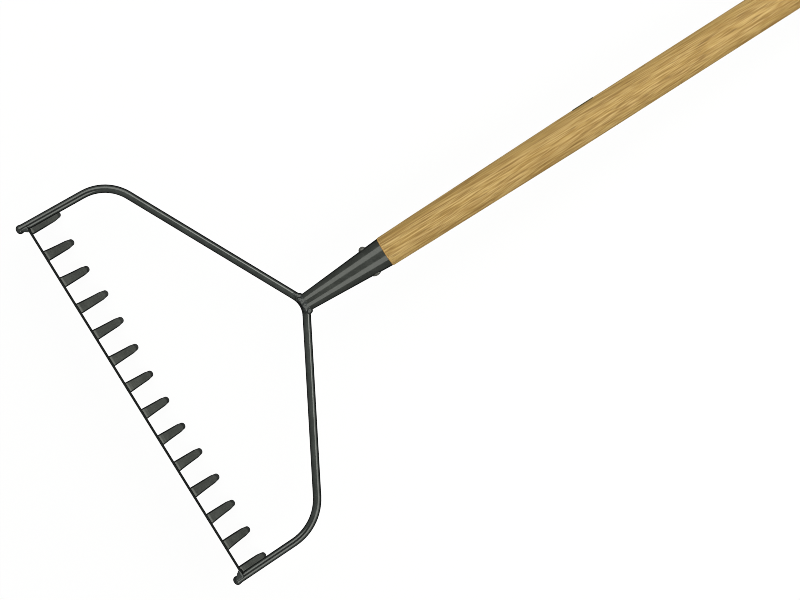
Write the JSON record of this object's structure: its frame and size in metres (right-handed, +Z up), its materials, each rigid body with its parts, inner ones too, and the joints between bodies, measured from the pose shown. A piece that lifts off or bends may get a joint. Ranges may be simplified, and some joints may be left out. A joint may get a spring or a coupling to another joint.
{
  "type": "bow rake",
  "caption": "Garden bow rake: a bent round bow carries a bar of curved steel tines, with a conical socket riveted to a long wooden handle.",
  "frame": {"origin": "middle of the rake's footprint, on the ground that its tine tips and the foot of its handle rest on", "axes": "+X along the rake to the handle's free end, +Y to the left side of the head, +Z up"},
  "size_m": [1.5949, 0.3657, 0.0572],
  "materials": {
    "painted_steel": "satin dark grey enamel, worn at the edges",
    "weld_steel": "dark grey enamel over rippled weld beads",
    "rivet_steel": "dark grey enamel rubbed bright on the crown",
    "ash_wood": "satin varnish over straight-grained ash",
    "label_film": "plain matt film with no print"
  },
  "bodies": {
    "root": {"tine_bar": "painted_steel", "bow": "painted_steel", "socket": "painted_steel", "rivet": "rivet_steel", "handle": "ash_wood", "label": "label_film", "socket_weld": "weld_steel", "left_bar_weld": "weld_steel", "right_bar_weld": "weld_steel"}
  },
  "joints": []
}
